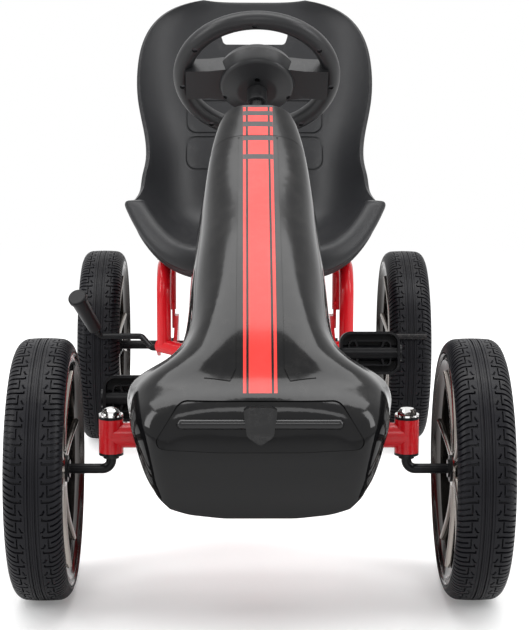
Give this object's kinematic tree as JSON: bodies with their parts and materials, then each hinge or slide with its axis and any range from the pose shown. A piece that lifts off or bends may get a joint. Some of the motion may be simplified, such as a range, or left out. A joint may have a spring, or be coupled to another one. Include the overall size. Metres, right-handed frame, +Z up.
{
  "type": "pedal kart",
  "caption": "Children's pedal go-kart: tubular frame, bucket seat, steering wheel linked to the front wheels, foam tyres, nose fairing, cranks with enclosed chain and a hand brake.",
  "frame": {"origin": "centre of the box of the whole kart, on the ground under it", "axes": "+X to the driver's left, +Y to the rear, +Z up"},
  "size_m": [0.4908, 0.96, 0.6012],
  "materials": {
    "tyre_foam": "matte moulded foam",
    "rim_plastic": "gloss black moulding with bright spoke faces",
    "black_plastic": "fine-grained moulded plastic",
    "gloss_black_plastic": "high gloss with a red stripe",
    "red_frame": "red powder coat",
    "black_steel": "black powder coat",
    "zinc_steel": "bright zinc plate"
  },
  "bodies": {
    "chassis": {"chain_case_inner": "black_plastic", "chain_case_outer": "black_plastic", "column_bushes": "black_plastic", "column_post": "red_frame", "crank_bracket": "red_frame", "crank_bushes": "black_plastic", "dash_cap": "gloss_black_plastic", "drive_chain": "zinc_steel", "front_axle_beam": "red_frame", "kingpin_bushes": "black_plastic", "main_tube": "red_frame", "nose_fairing": "gloss_black_plastic", "nose_trim": "gloss_black_plastic", "rear_axle_bushes": "black_plastic", "rear_frame": "red_frame", "seat_bolts": "zinc_steel", "seat_frame": "red_frame", "seat_shell": "black_plastic", "seat_straps": "black_steel"},
    "steering": {"steering_column": "black_steel", "steering_wheel_top": "black_plastic", "steering_wheel_back": "black_plastic", "steering_wheel_screws": "zinc_steel"},
    "knuckle_left": {"kingpin_axle_left": "black_steel", "kingpin_nut_left": "zinc_steel", "wheel_nut_front_left": "zinc_steel"},
    "knuckle_right": {"kingpin_axle_right": "black_steel", "kingpin_cap_right": "zinc_steel", "wheel_nut_front_right": "zinc_steel"},
    "tie_rod_left": {"tie_rod_left": "black_steel"},
    "tie_rod_right": {"tie_rod_right": "black_steel"},
    "wheel_front_left": {"tyre_front_left": "tyre_foam", "rim_front_left": "rim_plastic", "wheel_bushes_front_left": "black_plastic"},
    "wheel_front_right": {"tyre_front_right": "tyre_foam", "rim_front_right": "rim_plastic", "wheel_bushes_front_right": "black_plastic"},
    "rear_axle": {"rear_axle": "zinc_steel", "rear_sprocket": "zinc_steel", "wheel_nuts_rear": "zinc_steel", "tyre_rear_left": "tyre_foam", "rim_rear_left": "rim_plastic", "wheel_bushes_rear_left": "black_plastic"},
    "wheel_rear_right": {"tyre_rear_right": "tyre_foam", "rim_rear_right": "rim_plastic", "wheel_bushes_rear_right": "black_plastic"},
    "crank": {"crankshaft": "zinc_steel", "front_sprocket": "zinc_steel", "pedal_end_caps": "black_plastic"},
    "pedal_left": {"pedal_left": "black_plastic"},
    "pedal_right": {"pedal_right": "black_plastic"},
    "handbrake": {"brake_bar": "black_steel", "brake_grip": "black_plastic"}
  },
  "joints": [
    {"name": "steering_turn", "type": "hinge", "parent": "chassis", "child": "steering", "pos_m": [0, 0.01, 0.508], "axis": [0, 0.7431, 0.6691], "range_deg": [-30, 30]},
    {"name": "kingpin_left", "type": "hinge", "parent": "chassis", "child": "knuckle_left", "pos_m": [0.147, -0.35, 0.164], "axis": [0, 0, 1], "range_deg": [-22, 22]},
    {"name": "tie_rod_end_left", "type": "hinge", "parent": "knuckle_left", "child": "tie_rod_left", "pos_m": [0.147, -0.304, 0.15], "axis": [0, 0, 1], "range_deg": [-22, 22]},
    {"name": "front_wheel_left", "type": "hinge", "parent": "knuckle_left", "child": "wheel_front_left", "pos_m": [0.212, -0.35, 0.13], "axis": [1, 0, 0], "continuous": true},
    {"name": "kingpin_right", "type": "hinge", "parent": "chassis", "child": "knuckle_right", "pos_m": [-0.147, -0.35, 0.164], "axis": [0, 0, 1], "range_deg": [-22, 22]},
    {"name": "tie_rod_end_right", "type": "hinge", "parent": "knuckle_right", "child": "tie_rod_right", "pos_m": [-0.147, -0.304, 0.15], "axis": [0, 0, 1], "range_deg": [-22, 22]},
    {"name": "front_wheel_right", "type": "hinge", "parent": "knuckle_right", "child": "wheel_front_right", "pos_m": [-0.212, -0.35, 0.13], "axis": [1, 0, 0], "continuous": true},
    {"name": "rear_axle_turn", "type": "hinge", "parent": "chassis", "child": "rear_axle", "pos_m": [0, 0.35, 0.13], "axis": [1, 0, 0], "continuous": true},
    {"name": "rear_wheel_right", "type": "hinge", "parent": "rear_axle", "child": "wheel_rear_right", "pos_m": [-0.206, 0.35, 0.13], "axis": [1, 0, 0], "continuous": true},
    {"name": "crank_turn", "type": "hinge", "parent": "chassis", "child": "crank", "pos_m": [0, -0.11, 0.178], "axis": [1, 0, 0], "continuous": true},
    {"name": "pedal_spin_left", "type": "hinge", "parent": "crank", "child": "pedal_left", "pos_m": [0.132, -0.03483, 0.18923], "axis": [1, 0, 0], "continuous": true},
    {"name": "pedal_spin_right", "type": "hinge", "parent": "crank", "child": "pedal_right", "pos_m": [-0.132, -0.18517, 0.16677], "axis": [1, 0, 0], "continuous": true},
    {"name": "handbrake_pull", "type": "hinge", "parent": "chassis", "child": "handbrake", "pos_m": [0, 0.198, 0.153], "axis": [-1, 0, 0], "range_deg": [0, 18]}
  ],
  "couplings": [
    {"joint": "kingpin_left", "follows": "steering_turn", "ratio": 0.723},
    {"joint": "kingpin_right", "follows": "steering_turn", "ratio": 0.723},
    {"joint": "tie_rod_end_left", "follows": "steering_turn", "ratio": -0.723},
    {"joint": "tie_rod_end_right", "follows": "steering_turn", "ratio": -0.723},
    {"joint": "crank_turn", "follows": "rear_axle_turn", "ratio": 0.66667}
  ]
}
